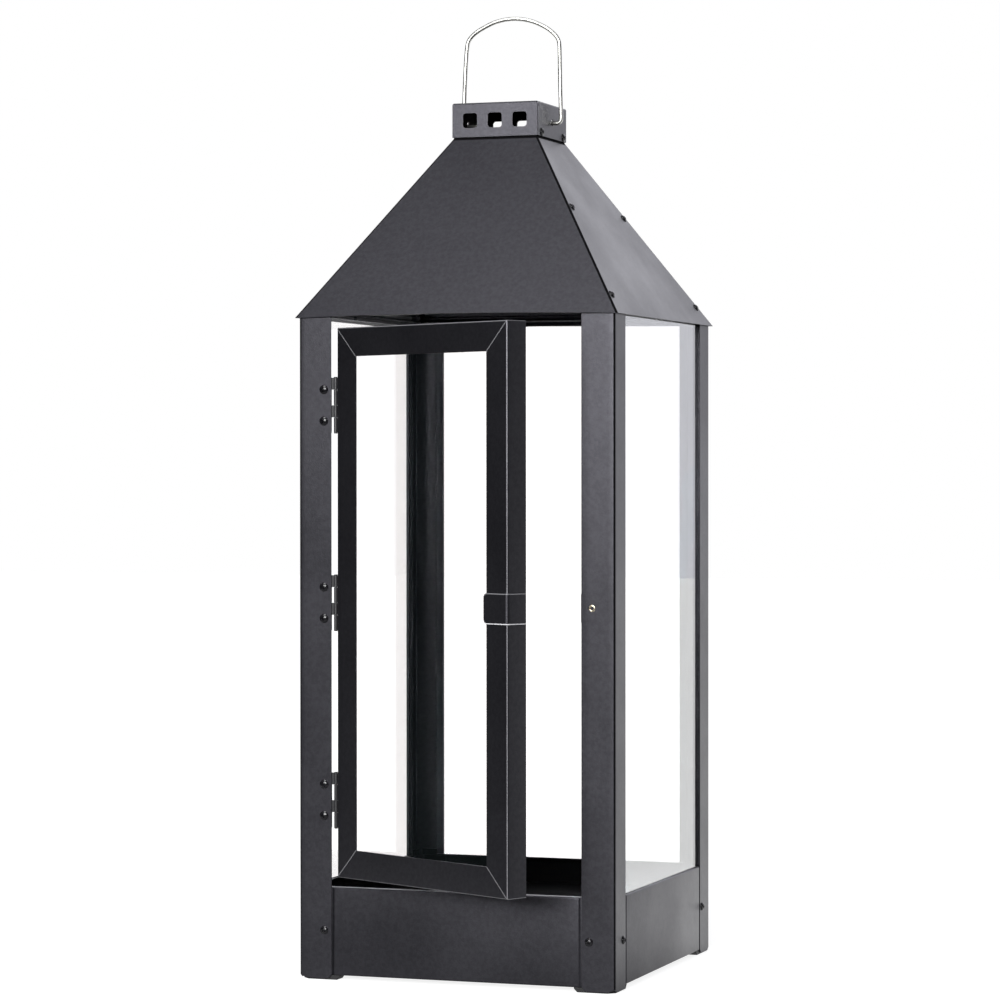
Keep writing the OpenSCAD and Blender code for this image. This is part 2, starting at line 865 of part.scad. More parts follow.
// Places of the rivets through the door's leaves, along X
module each_leaf_rivet() {
    for (z = hinge_z, end = [-1, 1])
        translate([door_left, leaf_rivet_y, z + end * leaf_rivet_spread])
            rotate([0, 90, 0])
                children();
}

module door_leaf_rivets() {
    color(zinc)
        swung_open()
            each_leaf_rivet() {
                translate([0, 0, -leaf - leaf_rivet_head_height])
                    cylinder(r = leaf_rivet_head, h = leaf_rivet_head_height);
                translate([0, 0, -leaf - leaf_rivet_head_height])
                    cylinder(r = leaf_rivet_radius, h = leaf + door_sheet + 2 * leaf_rivet_head_height);
                translate([0, 0, door_sheet])
                    cylinder(r = leaf_rivet_head, h = leaf_rivet_head_height);
            }
}

// ---- Door ----

// An angle with its corner at the origin: face along X, flange along Y
module door_section() {
    translate([door_bend, 0]) square([door_face - door_bend, door_sheet]);
    translate([0, door_bend]) square([door_sheet, door_depth - door_bend]);
    translate([door_bend, door_bend])
        intersection() {
            difference() {
                circle(door_bend);
                circle(door_bend - door_sheet);
            }
            translate([-door_bend, -door_bend]) square(door_bend);
        }
}

// Cuts a frame member's ends at 45 degrees, drawn with its outer edge along X from the origin
module frame_mitre(length) {
    translate([0, door_depth + 1, 0])
        rotate([90, 0, 0])
            linear_extrude(height = door_depth + 2)
                polygon([[0, 0], [length, 0], [length - door_face, door_face], [door_face, door_face]]);
}

// A member that lies along X on its outer edge, with its face on y = 0
module frame_member(length) {
    intersection() {
        rotate([0, 90, 0])
            mirror([1, 0, 0])
                linear_extrude(height = length) door_section();
        frame_mitre(length);
    }
}

module door_rail_bottom() {
    color(powder_black)
        swung_open()
            translate([door_left, -half, door_bottom]) frame_member(door_width);
}

module door_rail_top() {
    color(powder_black)
        swung_open()
            translate([door_left, -half, door_top]) mirror([0, 0, 1]) frame_member(door_width);
}

module door_stile_hinge() {
    color(powder_black)
        swung_open()
            difference() {
                translate([door_left, -half, door_bottom])
                    mirror([1, 0, -1]) frame_member(door_height);
                each_leaf_rivet() cylinder(r = leaf_rivet_radius, h = 8 * sheet, center = true);
            }
}

module door_stile_latch() {
    color(powder_black)
        swung_open()
            translate([door_right, -half, door_bottom])
                mirror([1, 0, 0]) mirror([1, 0, -1]) frame_member(door_height);
}

module door_pane() {
    edge = door_sheet + door_glass_play;
    color(clear_glass)
        swung_open()
            translate([door_left + edge, -half + door_sheet, door_bottom + edge])
                cube([door_width - 2 * edge, glass, door_height - 2 * edge]);
}

// A bent clip on the bottom rail: one leg on the pane, one on the flange
module glass_clip() {
    translate([-clip_width / 2, door_pane_back, door_sheet]) {
        cube([clip_width, clip_sheet, clip_hold]);
        cube([clip_width, door_back - clip_end - door_pane_back, clip_sheet]);
    }
}

module door_clips() {
    across = (door_left + door_right) / 2;
    color(zinc)
        swung_open() {
            translate([across, 0, door_bottom]) glass_clip();
            translate([across, 0, door_top]) mirror([0, 0, 1]) glass_clip();
            for (end = [-1, 1]) {
                translate([door_left, 0, door_middle + end * (door_height / 2 - clip_inset)])
                    rotate([0, 90, 0]) glass_clip();
                translate([door_right, 0, door_middle + end * (door_height / 2 - clip_inset)])
                    rotate([0, -90, 0]) glass_clip();
            }
        }
}

// ---- Latch ----

// A folded plate round the latch stile's edge
module latch_plate() {
    wing = door_face + latch_reach;
    bend = door_bend + latch_sheet;
    color(powder_black)
        swung_open()
            translate([door_right, -half, latch_z - latch_height / 2]) {
                translate([-wing, 0, 0])
                    rotate([90, 0, 0])
                        linear_extrude(height = latch_sheet) {
                            translate([latch_corner, 0])
                                square([wing - latch_corner - door_bend, latch_height]);
                            translate([0, latch_corner])
                                square([2 * latch_corner, latch_height - 2 * latch_corner]);
                            for (z = [latch_corner, latch_height - latch_corner])
                                translate([latch_corner, z]) circle(latch_corner);
                        }
                linear_extrude(height = latch_height) {
                    translate([0, door_bend])
                        square([latch_sheet, door_depth - door_bend - 1]);
                    translate([-door_bend, door_bend])
                        intersection() {
                            difference() {
                                circle(bend);
                                circle(door_bend);
                            }
                            translate([0, -bend]) square(bend);
                        }
                }
            }
}

// A block behind the front right post, with a pocket open towards the door's edge
module magnet_housing() {
    color(rubber_black)
        difference() {
            translate([magnet_left, -inner, magnet_z - magnet_height / 2])
                cube([magnet_width, magnet_depth, magnet_height]);
            translate([magnet_left - 1, -inner + magnet_wall, magnet_z - magnet_height / 2 + magnet_wall])
                cube([magnet_pocket + 1, magnet_depth - 2 * magnet_wall, magnet_height - 2 * magnet_wall]);
            at_magnet_rivet() screw_bore(rivet_shank + seat_play);
        }
}

module door_magnet() {
    color(zinc)
        translate([magnet_left, -inner + magnet_wall, magnet_z - magnet_height / 2 + magnet_wall])
            cube([magnet_pocket, magnet_depth - 2 * magnet_wall, magnet_height - 2 * magnet_wall]);
}

module magnet_rivet() {
    rim = 0.5;
    length = sheet + magnet_depth;
    color(nickel)
        at_magnet_rivet()
            difference() {
                union() {
                    cylinder(d = rivet_flange, h = rim);
                    translate([0, 0, -length]) cylinder(d = rivet_shank, h = length + rim);
                    translate([0, 0, -length - rim]) cylinder(d = rivet_flange, h = rim);
                }
                translate([0, 0, -length - 1]) cylinder(d = rivet_hole, h = length + 2);
            }
}

// ---- Screws ----

module skirt_screws() {
    color(powder_black)
        for (side = [front, right, rear, left])
            each_skirt_screw(side) pan_screw();
}

module roof_screws() {
    color(powder_black)
        for (side = [right, left])
            each_hip_screw(side) pan_screw();
}

module chimney_screws() {
    color(powder_black)
        for (side = [right, left])
            each_chimney_screw(side) pan_screw();
}

module hinge_screws() {
    color(powder_black)
        each_hinge_screw() pan_screw(hinge_head_diameter);
}

post_front_left();
post_front_right();
post(-1, 1);  // post_rear_left
post(1, 1);  // post_rear_right
skirt(front);  // skirt_front
skirt(right);  // skirt_right
skirt(rear);  // skirt_rear
skirt(left);  // skirt_left
foot(-1, -1);  // foot_front_left
foot(1, -1);  // foot_front_right
foot(-1, 1);  // foot_rear_left
foot(1, 1);  // foot_rear_right
floor_plate();
pane(right);  // pane_right
pane(rear);  // pane_rear
pane(left);  // pane_left
top_rail(front);  // top_rail_front
top_rail(right);  // top_rail_right
top_rail(rear);  // top_rail_rear
top_rail(left);  // top_rail_left
top_gussets();
roof_end_panel(front);  // roof_front
roof_side_panel(right);  // roof_right
roof_end_panel(rear);  // roof_rear
roof_side_panel(left);  // roof_left
chimney_box();
skirt_screws();
roof_screws();
chimney_screws();
hinge_screws();
post_leaf(hinge_z[0]);  // post_leaf_lower
post_leaf(hinge_z[1]);  // post_leaf_middle
post_leaf(hinge_z[2]);  // post_leaf_upper
hinge_pin(hinge_z[0]);  // hinge_pin_lower
hinge_pin(hinge_z[1]);  // hinge_pin_middle
hinge_pin(hinge_z[2]);  // hinge_pin_upper
magnet_housing();
door_magnet();
magnet_rivet();
door_stile_hinge();
door_stile_latch();
door_rail_top();
door_rail_bottom();
door_pane();
door_clips();
latch_plate();
door_leaf(hinge_z[0]);  // door_leaf_lower
door_leaf(hinge_z[1]);  // door_leaf_middle
door_leaf(hinge_z[2]);  // door_leaf_upper
door_leaf_rivets();
carry_handle();
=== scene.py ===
import json
import math

import bmesh
import bpy
import numpy as np
from mathutils import Matrix, Vector


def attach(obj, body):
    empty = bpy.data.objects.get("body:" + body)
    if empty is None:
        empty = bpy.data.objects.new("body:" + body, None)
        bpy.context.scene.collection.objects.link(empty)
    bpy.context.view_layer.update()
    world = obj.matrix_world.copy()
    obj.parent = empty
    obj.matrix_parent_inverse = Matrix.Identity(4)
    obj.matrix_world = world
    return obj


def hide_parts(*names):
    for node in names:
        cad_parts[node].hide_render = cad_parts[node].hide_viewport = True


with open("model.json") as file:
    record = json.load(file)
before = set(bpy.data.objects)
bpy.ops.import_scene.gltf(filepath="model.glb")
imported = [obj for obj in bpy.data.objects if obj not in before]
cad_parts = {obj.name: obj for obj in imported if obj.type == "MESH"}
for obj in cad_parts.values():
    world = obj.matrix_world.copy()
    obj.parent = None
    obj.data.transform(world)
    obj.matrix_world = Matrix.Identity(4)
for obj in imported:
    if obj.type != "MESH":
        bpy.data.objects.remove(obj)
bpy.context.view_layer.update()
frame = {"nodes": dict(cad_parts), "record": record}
nodes = frame["nodes"]
scene = bpy.context.scene
scene.view_settings.view_transform = "Standard"
print("frame loaded:", len(nodes), "nodes")

cameraSettings = {
    "place": (0.8570722, -2.4607212, 0.3684141),  # metres
    "turn": 19.3657,  # degrees to the left of +Y
    "tilt": 0.4793,  # degrees below level
    "roll": -0.0326,
    "lens": 125.699,
    "sensor": 36.0,
}


def addCamera(s):
    data = bpy.data.cameras.new("camera")
    data.lens = s["lens"]
    data.sensor_width = s["sensor"]
    data.clip_end = 40
    camera = bpy.data.objects.new("camera", data)
    scene.collection.objects.link(camera)
    turn = Matrix.Rotation(math.radians(s["turn"]), 4, "Z")
    tilt = Matrix.Rotation(math.radians(90 - s["tilt"]), 4, "X")
    roll = Matrix.Rotation(math.radians(s["roll"]), 4, "Z")
    camera.matrix_world = Matrix.Translation(s["place"]) @ turn @ tilt @ roll
    scene.camera = camera


addCamera(cameraSettings)
print("camera placed")


def newMaterial(name):
    material = bpy.data.materials.new(name)
    material.use_nodes = True
    tree = material.node_tree
    return material, tree, tree.nodes["Principled BSDF"]


def setInputs(tree, node, inputs):
    # a value that is another node's output is linked, and any other is set
    for key, value in inputs.items():
        if isinstance(value, bpy.types.NodeSocket):
            tree.links.new(value, node.inputs[key])
        else:
            node.inputs[key].default_value = value


def addNode(tree, kind, inputs=None, **settings):
    node = tree.nodes.new(kind)
    for key, value in settings.items():
        setattr(node, key, value)
    setInputs(tree, node, inputs or {})
    return node


def objectPlace(tree):
    return addNode(tree, "ShaderNodeTexCoord").outputs["Object"]


def noise(tree, place, scale, detail=2.0, rough=0.5):
    inputs = {"Vector": place, "Scale": scale, "Detail": detail, "Roughness": rough}
    return addNode(tree, "ShaderNodeTexNoise", inputs).outputs["Fac"]


def cells(tree, place, scale):
    return addNode(tree, "ShaderNodeTexVoronoi", {"Vector": place, "Scale": scale}).outputs["Distance"]


def remap(tree, value, low, high, toLow, toHigh):
    # low to high becomes toLow to toHigh, and what lies outside is held at the ends
    inputs = {"Value": value, "From Min": low, "From Max": high, "To Min": toLow, "To Max": toHigh}
    return addNode(tree, "ShaderNodeMapRange", inputs).outputs["Result"]


def math2(tree, operation, first, second):
    return addNode(tree, "ShaderNodeMath", {0: first, 1: second}, operation=operation).outputs[0]


def blendColors(tree, factor, first, second):
    made = addNode(tree, "ShaderNodeMix", data_type="RGBA")
    setInputs(tree, made, {0: factor, 6: first, 7: second})
    return made.outputs[2]


def addBump(tree, shader, height, strength, distance, under=None):
    inputs = {"Height": height, "Strength": strength, "Distance": distance}
    if under is not None:
        inputs["Normal"] = under
    bump = addNode(tree, "ShaderNodeBump", inputs)
    tree.links.new(bump.outputs["Normal"], shader.inputs["Normal"])
    return bump.outputs["Normal"]


powderSettings = {
    "dark": (0.0030, 0.0030, 0.0036, 1),
    "light": (0.0065, 0.0065, 0.0078, 1),
    "roughLow": 0.30,
    "roughHigh": 0.40,
    "ior": 1.55,
    "sheenTint": (0.90, 0.885, 1.0, 1),
    "grain": 1500.0,  # texture bumps per metre
    "grainHeight": 0.00006,
    "speck": 0.6,  # share of the grain's fineness at which the pits lie
    "cloud": 14.0,  # soft clouds per metre, in which the coat is lighter and duller
    "cloudShare": 0.35,
    "smudges": 95.0,  # per metre
    "smudge": 0.008,  # how far they change the roughness
    "waveHeight": 0.00003,
    "spots": 330.0,  # per metre
    "specular": 0.5,
    "patchy": 0.10,  # share by which the gloss differs from spot to spot
}
paintedHighlightSettings = dict(  # lighter and glossier: painted highlight on bends, mitres and edges
    powderSettings, dark=(0.10, 0.10, 0.105, 1), light=(0.20, 0.20, 0.21, 1), roughLow=0.22, roughHigh=0.34
)
paintedPaleHighlightSettings = dict(paintedHighlightSettings, dark=(0.45, 0.45, 0.46, 1), light=(0.62, 0.62, 0.64, 1))  # light grey: painted highlight on folds and cut edges
insideSettings = dict(powderSettings, ior=1.3, roughLow=0.42, roughHigh=0.52)  # a thin, dull coat on hidden sheet
paintedShadeSettings = dict(  # near black and almost without shine: painted shade in gaps, on dark bends and on inner faces
    powderSettings, dark=(0.0015, 0.0015, 0.0016, 1), light=(0.0030, 0.0030, 0.0032, 1),
    roughLow=0.75, roughHigh=0.9, specular=0.06,
)


def makePowderCoat(name, s):
    material, tree, shader = newMaterial(name)
    place = objectPlace(tree)
    grain = noise(tree, place, s["grain"], 2.0, 0.55)
    cloud = noise(tree, place, s["cloud"], 3.0)
    smudge = noise(tree, place, s["smudges"], 3.0, 0.6)
    spots = noise(tree, place, s["spots"], 2.0, 0.6)
    speck = cells(tree, place, s["grain"] * s["speck"])
    mottle = blendColors(tree, remap(tree, grain, 0.35, 0.65, 0, 1), s["dark"], s["light"])
    tint = blendColors(tree, remap(tree, cloud, 0.3, 0.7, 0, s["cloudShare"]), mottle, s["light"])
    rough = remap(tree, cloud, 0.3, 0.7, s["roughLow"], s["roughHigh"])
    rough = math2(tree, "ADD", rough, remap(tree, smudge, 0.3, 0.7, -s["smudge"], s["smudge"]))
    gloss = remap(tree, spots, 0.35, 0.65, s["specular"] * (1 - s["patchy"]), s["specular"] * (1 + s["patchy"]))
    setInputs(tree, shader, {
        "Base Color": tint, "Roughness": rough, "Specular IOR Level": gloss,
        "IOR": s["ior"], "Specular Tint": s["sheenTint"],
    })
    wave = addBump(tree, shader, smudge, 0.5, s["waveHeight"])
    first = addBump(tree, shader, grain, 0.7, s["grainHeight"], wave)
    addBump(tree, shader, speck, 0.35, s["grainHeight"], first)
    return material


glassSettings = {
    "color": (0.99, 1.0, 1.0, 1),
    "mirrorTint": (0.60, 0.95, 1.0, 1),
    "ior": 1.5,
    "shine": 0.0,  # weight of a clear layer that mirrors more at a low angle
    "shineIor": 1.7,
    "shineRough": 0.02,
    "smears": 9.0,  # per metre
    "smearRough": 0.012,
    "bodyColor": (0.70, 0.92, 0.90, 1),  # seen through the edges
    "bodyDensity": 3.0,
}


def makeGlass(name, s):
    material, tree, shader = newMaterial(name)
    smear = noise(tree, objectPlace(tree), s["smears"], 4.0, 0.6)
    setInputs(tree, shader, {
        "Base Color": s["color"], "Specular Tint": s["mirrorTint"], "Transmission Weight": 1.0, "IOR": s["ior"],
        "Coat Weight": s["shine"], "Coat IOR": s["shineIor"], "Coat Roughness": s["shineRough"],
        "Roughness": remap(tree, smear, 0.45, 0.8, 0.0, s["smearRough"]),
    })
    body = addNode(tree, "ShaderNodeVolumeAbsorption", {"Color": s["bodyColor"], "Density": s["bodyDensity"]})
    tree.links.new(body.outputs["Volume"], tree.nodes["Material Output"].inputs["Volume"])
    return material


metalSettings = {
    # colour, lowest and highest roughness, metallic, grain per metre
    "blackSteel": ((0.022, 0.022, 0.024), 0.32, 0.46, 0.0, 900.0),
    "wireSteel": ((0.72, 0.72, 0.68), 0.30, 0.42, 1.0, 1400.0),
    "rivetNickel": ((0.62, 0.55, 0.42), 0.18, 0.32, 1.0, 1600.0),
    "magnetMetal": ((0.22, 0.22, 0.23), 0.30, 0.45, 1.0, 1200.0),
    "screwLacquer": ((0.006, 0.006, 0.0075), 0.12, 0.22, 0.0, 1200.0),
}
metalWear = {"patches": 60.0, "shade": 0.72, "grainHeight": 0.00003}


def makeMetal(name, s):
    color, roughLow, roughHigh, metallic, grain = metalSettings[name]
    material, tree, shader = newMaterial(name)
    place = objectPlace(tree)
    fine = noise(tree, place, grain, 3.0, 0.6)
    worn = noise(tree, place, s["patches"], 4.0, 0.6)
    shade = tuple(v * s["shade"] for v in color) + (1,)
    setInputs(tree, shader, {
        "Base Color": blendColors(tree, remap(tree, worn, 0.35, 0.7, 0, 1), shade, color + (1,)),
        "Metallic": metallic, "Roughness": remap(tree, fine, 0.3, 0.7, roughLow, roughHigh),
    })
    addBump(tree, shader, fine, 0.25, s["grainHeight"])
    return material


plasticSettings = {
    "dark": (0.003, 0.003, 0.0035, 1),
    "light": (0.006, 0.006, 0.007, 1),
    "roughLow": 0.42,
    "roughHigh": 0.55,
    "cloud": 40.0,
    "grain": 1800.0,
    "grainHeight": 0.00004,
}


def makePlastic(name, s):
    material, tree, shader = newMaterial(name)
    place = objectPlace(tree)
    cloud = noise(tree, place, s["cloud"], 3.0)
    setInputs(tree, shader, {
        "Base Color": blendColors(tree, cloud, s["dark"], s["light"]),
        "Roughness": remap(tree, cloud, 0.3, 0.7, s["roughLow"], s["roughHigh"]),
    })
    addBump(tree, shader, cells(tree, place, s["grain"]), 0.3, s["grainHeight"])
    return material


finishes = {
    "powder_coat": makePowderCoat("powderCoat", powderSettings),
    "inside": makePowderCoat("insideCoat", insideSettings),
    "edge": makePowderCoat("paintedHighlightCoat", paintedHighlightSettings),
    "seam": makePowderCoat("paintedShadeCoat", paintedShadeSettings),
    "pale": makePowderCoat("paintedPaleHighlightCoat", paintedPaleHighlightSettings),
    "clear_glass": makeGlass("paneGlass", glassSettings),
    "shiny_glass": makeGlass("sidePaneGlass", dict(glassSettings, shine=1.0)),
    "plated_steel": makeMetal("blackSteel", metalWear),
    "stainless_wire": makeMetal("wireSteel", metalWear),
    "nickel_rivet": makeMetal("rivetNickel", metalWear),
    "magnet": makeMetal("magnetMetal", metalWear),
    "black_plastic": makePlastic("mouldedPlastic", plasticSettings),
    "screw": makeMetal("screwLacquer", metalWear),
}
slotOfNode = {item["node"]: item["material_slot"] for item in frame["record"]["subparts"]}
bodyOfNode = {node: body for body, members in frame["record"]["behaviour"]["bodies"].items() for node in members}
for name, node in nodes.items():
    node.data.materials.clear()
    node.data.materials.append(finishes[slotOfNode[name]])
print("materials made")


def arc(center, radius, start, stop, count):
    # points on a circle from one angle to another, in equal steps
    turn = np.radians(np.linspace(start, stop, count))
    return np.column_stack((center[0] + radius * np.cos(turn), center[1] + radius * np.sin(turn)))


def sheetOutline(line, thickness):
    # the line, and back along a copy of it moved to its right by the thickness;
    # at a corner the copy moves along the line that halves the angle, as far as both walls need
    step = np.diff(line, axis=0)
    side = np.column_stack((step[:, 1], -step[:, 0])) / np.linalg.norm(step, axis=1)[:, None]
    before = np.vstack((side[:1], side))
    after = np.vstack((side, side[-1:]))
    move = (before + after) / (1 + np.sum(before * after, axis=1))[:, None]
    return np.vstack((line, (line + thickness * move)[::-1]))


def loft(grid, capped=True):
    # rows of points, each row a closed loop: every four neighbours make a face, and a cap closes each end
    rows, count = grid.shape[:2]
    i, j = np.meshgrid(np.arange(rows - 1), np.arange(count), indexing="ij")
    k = (j + 1) % count
    corners = (i * count + j, i * count + k, (i + 1) * count + k, (i + 1) * count + j)
    quads = np.stack(corners, axis=-1).reshape(-1, 4).tolist()
    if capped:
        quads.append(list(range(count)))
        quads.append(list(range((rows - 1) * count, rows * count)))
    return grid.reshape(-1, 3), quads


def banded(outline, z):
    # a flat outline at each row of places along the third axis; every point has its own place in a row
    return loft(np.stack((outline[:, 0] + 0 * z, outline[:, 1] + 0 * z, z), axis=-1))


def carried(outline, starts, ends):
    # each point of a flat outline runs straight along the third axis, from its own start to its own end
    return banded(outline, np.array([starts + 0 * outline[:, 0], ends + 0 * outline[:, 0]]))


def spun(profile, count):
    # a profile of [radius, height] turned round the third axis
    turn = np.linspace(0, 2 * np.pi, count, endpoint=False)
    radius, height = profile[:, 0][:, None], profile[:, 1][:, None]
    return np.stack((radius * np.cos(turn), radius * np.sin(turn), height + 0 * turn), axis=-1)


def moved(shape, matrix):
    # every point goes through a 4 by 4 matrix
    points, faces = shape
    matrix = np.array(matrix)
    return points @ matrix[:3, :3].T + matrix[:3, 3], faces


def onSide(side):
    # 0 is the front, 1 the right, 2 the rear and 3 the left
    return Matrix.Rotation(math.radians(90 * side), 4, "Z")


def swungOpen():
    axis = Vector((door["axisX"], door["axisY"], 0))
    return Matrix.Translation(axis) @ Matrix.Rotation(math.radians(-door["open"]), 4, "Z") @ Matrix.Translation(-axis)


def pieceName(nodeName):
    words = nodeName.split("_")
    return words[0] + "".join(word.capitalize() for word in words[1:])


def addPiece(name, shapes, nodeName, finish=None, bevel=0.0, sharp=40):
    # shapes are joined into one mesh, which takes the place of its CAD node
    points, faces, first = [], [], 0
    for shapePoints, shapeFaces in shapes:
        points.append(shapePoints)
        faces += [[v + first for v in face] for face in shapeFaces]
        first += len(shapePoints)
    mesh = bpy.data.meshes.new(name)
    mesh.from_pydata(np.vstack(points).tolist(), [], faces)
    work = bmesh.new()
    work.from_mesh(mesh)
    bmesh.ops.remove_doubles(work, verts=work.verts, dist=1e-6)
    bmesh.ops.recalc_face_normals(work, faces=work.faces)
    work.to_mesh(mesh)
    work.free()
    return finishPiece(name, mesh, nodeName, finish, bevel, sharp, 50)


def dressNode(nodeName, bevel, finish=None, paintedEdges=False):
    # a copy of the CAD solid with its loose triangles merged and its edges broken
    mesh = nodes[nodeName].data.copy()
    work = bmesh.new()
    work.from_mesh(mesh)
    bmesh.ops.remove_doubles(work, verts=work.verts, dist=4e-6)
    bmesh.ops.dissolve_limit(work, angle_limit=math.radians(0.4), verts=work.verts, edges=work.edges)
    work.to_mesh(mesh)
    work.free()
    return finishPiece(pieceName(nodeName), mesh, nodeName, finish, bevel, 30, 30, paintedEdges)


def coatFaces(piece, finish, faces):
    # the given faces get a finish of their own
    mesh = piece.data
    if finishes[finish].name not in mesh.materials:
        mesh.materials.append(finishes[finish])
    index = mesh.materials.find(finishes[finish].name)
    for face in faces:
        mesh.polygons[face].material_index = index


def inwardFaces(piece):
    # the faces that look towards the upright axis of the lamp
    faces = piece.data.polygons
    return [face.index for face in faces if face.normal.xy.dot(face.center.xy) < -0.3 * face.center.xy.length]


def finishPiece(name, mesh, nodeName, finish, bevel, sharp, bevelAngle, paintedEdges=False):
    # angles in degrees; paintedEdges gives the bevels the lighter edge coat, a painted highlight
    slot = slotOfNode[nodeName]
    mesh.materials.clear()
    mesh.materials.append(finish or finishes[slot])
    if paintedEdges:
        mesh.materials.append(finishes["edge"])
    mesh.polygons.foreach_set("use_smooth", np.ones(len(mesh.polygons), dtype=bool))
    mesh.set_sharp_from_angle(angle=math.radians(sharp))
    piece = bpy.data.objects.new(name, mesh)
    scene.collection.objects.link(piece)
    if bevel:
        edge = piece.modifiers.new("edge", "BEVEL")
        edge.width = bevel
        edge.segments = 2
        edge.limit_method = "ANGLE"
        edge.angle_limit = math.radians(bevelAngle)
        edge.use_clamp_overlap = True
        edge.harden_normals = True
        edge.material = 1 if paintedEdges else -1
    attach(piece, bodyOfNode[nodeName])
    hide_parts(nodeName)
    return piece


post = {
    "half": 0.120,  # from the middle to the outer faces
    "edge": 0.095,  # from the middle to the flanges' edges
    "sheet": 0.001,
    "bend": 0.002,
    "lift": 0.001,
    "clip": 0.003,  # of the flanges' lower corners
    "cornerClip": 0.005,  # of the bend's lower end
    "cornerRise": 0.0025,
    "top": 0.480,
    "hemWidth": 0.006,  # folded back behind a flange's edge
    "hemBottom": 0.0672,
}


def postShape(s, frontPost):
    # an angle outline whose lower end rises by 45 degrees at the flanges' edges and half as steeply at the bend
    half, edge, bend = s["half"], s["edge"], s["bend"]
    leg = np.array([[edge, half], [edge + s["clip"], half], [half - s["cornerClip"], half]])
    line = np.vstack((leg, arc((half - bend, half - bend), bend, 90, 0, 9), leg[::-1, ::-1]))
    outline = sheetOutline(line, s["sheet"])
    along = outline.min(axis=1) - edge
    bottom = s["lift"] + np.maximum(0, s["clip"] - along)
    bottom += np.maximum(0, outline.sum(axis=1) - 2 * half + s["cornerClip"]) * s["cornerRise"] / s["cornerClip"]
    shapes = [carried(outline, bottom, s["top"])]
    low, high = half - 2 * s["sheet"], half - 0.9 * s["sheet"]  # pressed a little into the flange
    hem = np.array([[edge, low], [edge + s["hemWidth"], low], [edge + s["hemWidth"], high], [edge, high]])
    shapes.append(carried(hem[:, ::-1], s["hemBottom"], s["top"]))
    if not frontPost:
        shapes.append(carried(hem, s["hemBottom"], s["top"]))
    return shapes


for nodeName, xSign, ySign in (
    ("post_front_left", -1, -1), ("post_front_right", 1, -1), ("post_rear_left", -1, 1), ("post_rear_right", 1, 1)
):
    corner = Matrix.Diagonal((xSign, ySign, 1, 1))
    shapes = [moved(shape, corner) for shape in postShape(post, ySign < 0)]
    piece = addPiece(pieceName(nodeName), shapes, nodeName, bevel=0.00025)
    coatFaces(piece, "seam", range(6, 9))  # the middle of the bend, in the near-black seam coat: a painted dark reflection
print("posts bent")

skirt = {
    "top": 0.0672,
    "bottom": 0.0035,
    "fold": 0.1135,  # from the middle to the folds' inner edges
    "foldBend": 0.0012,
    "grooveX": 0.093,  # where the face steps back behind the posts
    "grooveOut": 0.0006,  # the step starts so far inside of that
    "grooveLength": 0.0022,
    "end": 0.1116,
    "tabWidth": 0.012,
    "tabHeight": 0.004,
}


def skirtShape(s, glazed):
    # a channel section at each of a row of stations along the skirt;
    # towards both ends the sections step back by one sheet on an S curve
    half, sheet, bend = post["half"], post["sheet"], s["foldBend"]
    line = np.vstack((
        [[s["fold"], s["bottom"]]],
        arc((half - bend, s["bottom"] + bend), bend, -90, 0, 7),
        arc((half - bend, s["top"] - bend), bend, 0, 90, 7),
        [[s["fold"], s["top"]]],
    ))
    outline = sheetOutline(line[::-1], sheet)
    step = np.linspace(-s["grooveOut"], s["grooveLength"] - s["grooveOut"], 9)
    station = np.concatenate(([-s["end"]], -(s["grooveX"] + step)[::-1], s["grooveX"] + step, [s["end"]]))
    way = np.clip((np.abs(station) - s["grooveX"] + s["grooveOut"]) / s["grooveLength"], 0, 1)
    back = sheet * way * way * (3 - 2 * way)
    radius = outline[:, 0] - back[:, None] * (outline[:, 0] > s["fold"] + 1e-5)
    grid = np.stack((station[:, None] + 0 * radius, -radius, outline[:, 1] + 0 * radius), axis=-1)
    shapes = [loft(grid)]
    if glazed:
        for end in (-1, 1):
            x = end * np.array([s["end"] - s["tabWidth"], s["end"]])
            y = -np.array([s["fold"], s["fold"] + sheet])
            tab = np.array([[x[0], y[0]], [x[1], y[0]], [x[1], y[1]], [x[0], y[1]]])
            shapes.append(carried(tab, s["top"] - 0.0005, s["top"] + s["tabHeight"]))
    return shapes


for side, nodeName in enumerate(("skirt_front", "skirt_right", "skirt_rear", "skirt_left")):
    shapes = [moved(shape, onSide(side)) for shape in skirtShape(skirt, side != 0)]
    piece = addPiece(pieceName(nodeName), shapes, nodeName, bevel=0.00025)
    # the inner faces get the near-black seam coat: painted shade inside the lantern
    coatFaces(piece, "seam", inwardFaces(piece))
print("skirts folded")

pane = {
    "face": 0.118,  # from the middle to the pane's outer face
    "back": 0.115,
    "end": 0.101,
    "bottom": 0.0672,
    "top": 0.4835,
    "arris": 0.0004,  # width of the ground edges
    "corner": 0.001,
}


def paneShape(low, high, thickness, s):
    # a rounded rectangle at four depths, the first and last drawn in by the ground edge
    (x0, z0), (x1, z1) = low, high
    rows = []
    for depth, inset in ((0, s["arris"]), (s["arris"], 0), (thickness - s["arris"], 0), (thickness, s["arris"])):
        r = s["corner"]
        a, b, c, d = x0 + inset + r, x1 - inset - r, z0 + inset + r, z1 - inset - r
        corners = (((b, d), 0), ((a, d), 90), ((a, c), 180), ((b, c), 270))
        loop = np.vstack([arc(center, r, start, start + 90, 5) for center, start in corners])
        rows.append(np.column_stack((loop[:, 0], np.full(len(loop), depth), loop[:, 1])))
    return loft(np.array(rows))


for side, nodeName in ((1, "pane_right"), (2, "pane_rear"), (3, "pane_left")):
    low, high = (-pane["end"], pane["bottom"]), (pane["end"], pane["top"])
    flat = paneShape(low, high, pane["face"] - pane["back"], pane)
    place = onSide(side) @ Matrix.Translation((0, -pane["face"], 0))
    glass = finishes["shiny_glass" if nodeName == "pane_right" else "clear_glass"]
    addPiece(pieceName(nodeName), [moved(flat, place)], nodeName, finish=glass, sharp=20)
print("panes cut")

